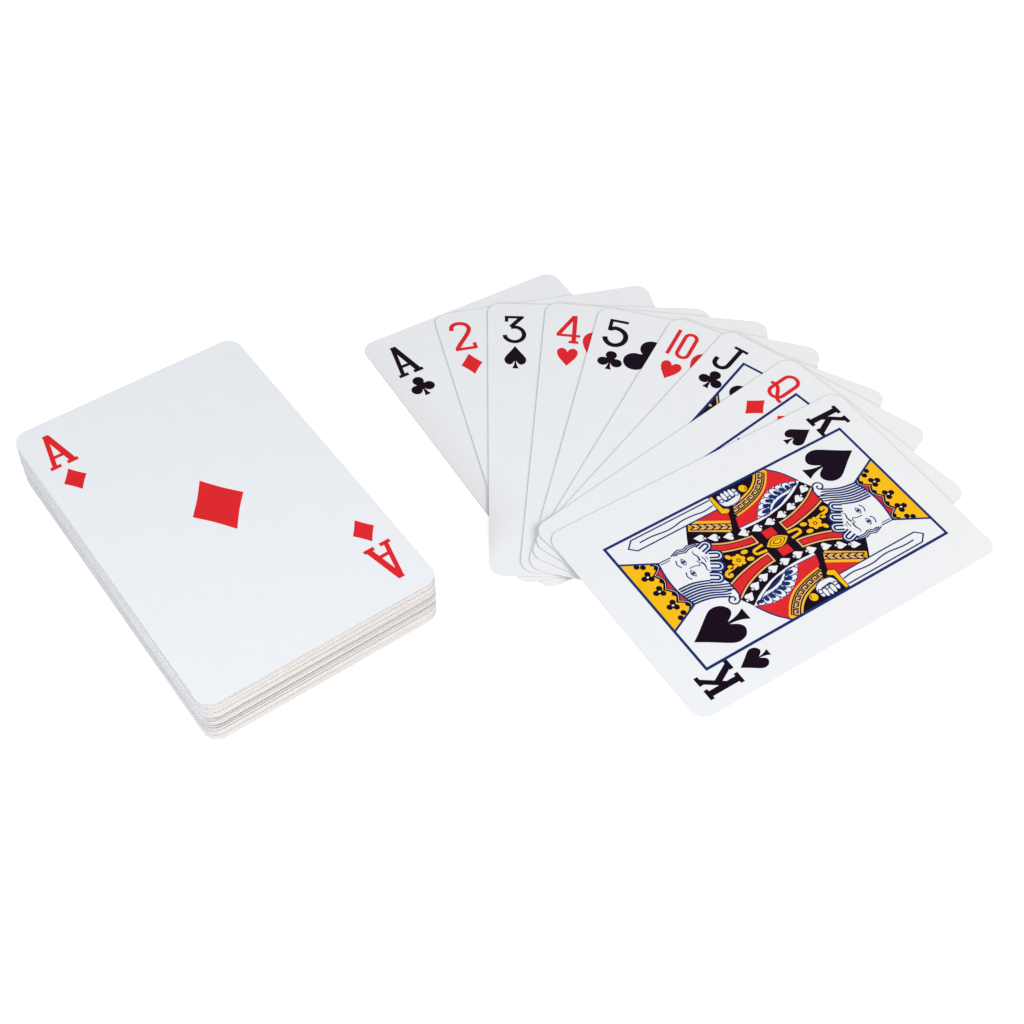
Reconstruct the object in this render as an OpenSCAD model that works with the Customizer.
// Deck of playing cards: a squared stack with a fan of nine cards laid out beside it.
// The origin is the middle of the stack's footprint on the table. +X runs across the cards of the
// stack, +Y along them towards their upper ends, +Z up. Every card is a separate flat solid.

/* [Card] */
// Width of a card
card_w = 58; // [50:0.5:66]
// Length of a card
card_l = 88; // [80:0.5:100]
// Thickness of the card stock
card_t = 0.28; // [0.2:0.01:0.4]
// Radius of a card's rounded corners
corner_r = 3.5; // [1:0.25:8]

/* [Stack] */
// Air left between a card and the one below it
air_gap = 0.02; // [0.01:0.005:0.1]
// How far the top of the stack leans across
lean_x = 0; // [-3:0.1:3]
// How far the top of the stack leans towards its far end
lean_y = 0.8; // [-3:0.1:3]
// How far single cards stand out of line
stagger = 0.1; // [0:0.05:1]
// How far single cards are turned, in degrees
stagger_turn = 0.15; // [0:0.05:2]

/* [Fan] */
// Clear space between the stack and the first card of the fan
fan_gap = 26.25; // [20:0.25:60]
// How far the first card of the fan lies below the middle of the stack
fan_drop = 10.75; // [0:0.25:40]

/* [Hidden] */
$fn = 48;
// One card's thickness with the air under the next
pitch = card_t + air_gap;

// The fan from the bottom card up: name, centre from the first card's centre, turn in degrees
fan = [
    ["ace_of_clubs", [0, 0], -4.75],
    ["two_of_diamonds", [6.75, -6.75], -22],
    ["three_of_spades", [8.5, -12.25], -35.75],
    ["four_of_hearts", [16.25, -20.25], -41.25],
    ["five_of_clubs", [19.5, -28], -49.5],
    ["ten_of_hearts", [22, -37.25], -62.5],
    ["jack_of_clubs", [22.75, -43.75], -72.25],
    ["queen_of_diamonds", [20.75, -52], -85],
    ["king_of_spades", [18, -61.75], -93],
];
fan_origin = [card_w + fan_gap, -fan_drop];

// The stack holds every other card, suit by suit, with one ace laid on top
suits = ["spades", "hearts", "clubs", "diamonds"];
ranks = ["ace", "two", "three", "four", "five", "six", "seven", "eight", "nine", "ten", "jack", "queen", "king"];
top_card = "ace_of_diamonds";
fan_names = [for (card = fan) card[0]];
function is_in(name, names) = len([for (other = names) if (other == name) other]) > 0;
stack_names = concat(
    [for (suit = suits) for (rank = ranks)
        let (name = str(rank, "_of_", suit))
        if (name != top_card && !is_in(name, fan_names)) name],
    [top_card]
);
stack_count = len(stack_names);

// Packets of the stack that were pushed in or out together: first card from the bottom, shift
packets = [
    [0, [0, 0]],
    [8, [0.05, -0.1]],
    [10, [-0.05, 0.15]],
    [18, [0.05, -0.1]],
    [20, [-0.05, 0.2]],
    [26, [0.05, 0]],
    [stack_count - 1, [0, 0]],
];
function packet_shift(k) = [for (packet = packets) if (packet[0] <= k) packet[1]][packets_up_to(k) - 1];
function packets_up_to(k) = len([for (packet = packets) if (packet[0] <= k) packet]);

// A spread of small shifts that never repeats within the stack; the bottom and top cards have none
function loose(k) = k == 0 || k == stack_count - 1 ? 0 : 1;
function stagger_at(k) = loose(k) * stagger * [sin(137 * k), cos(222 * k)];
function turn_at(k) = loose(k) * stagger_turn * sin(97 * k);
function lean_at(k) = [lean_x, lean_y] * k / (stack_count - 1);

// Outline of a card: two crossed rectangles and a disc in each corner
module card_outline() {
    square([card_w - 2 * corner_r, card_l], center = true);
    square([card_w, card_l - 2 * corner_r], center = true);
    for (x = [-1, 1], y = [-1, 1])
        translate([x * (card_w / 2 - corner_r), y * (card_l / 2 - corner_r)]) circle(corner_r);
}

// A flat card in its own layer above the table
module card(centre, turn, layer) {
    translate([centre[0], centre[1], layer * pitch])
        rotate(turn)
            linear_extrude(card_t) card_outline();
}

// Card of the stack, counted from the table up
module stack_card(k) {
    color("ghostwhite") card(lean_at(k) + packet_shift(k) + stagger_at(k), turn_at(k), k);
}

// Card of the fan, counted from the table up
module fan_card(i) {
    color("whitesmoke") card(fan_origin + fan[i][1], fan[i][2], i);
}

for (k = [0 : stack_count - 1])
    stack_card(k);
for (i = [0 : len(fan) - 1])
    fan_card(i);
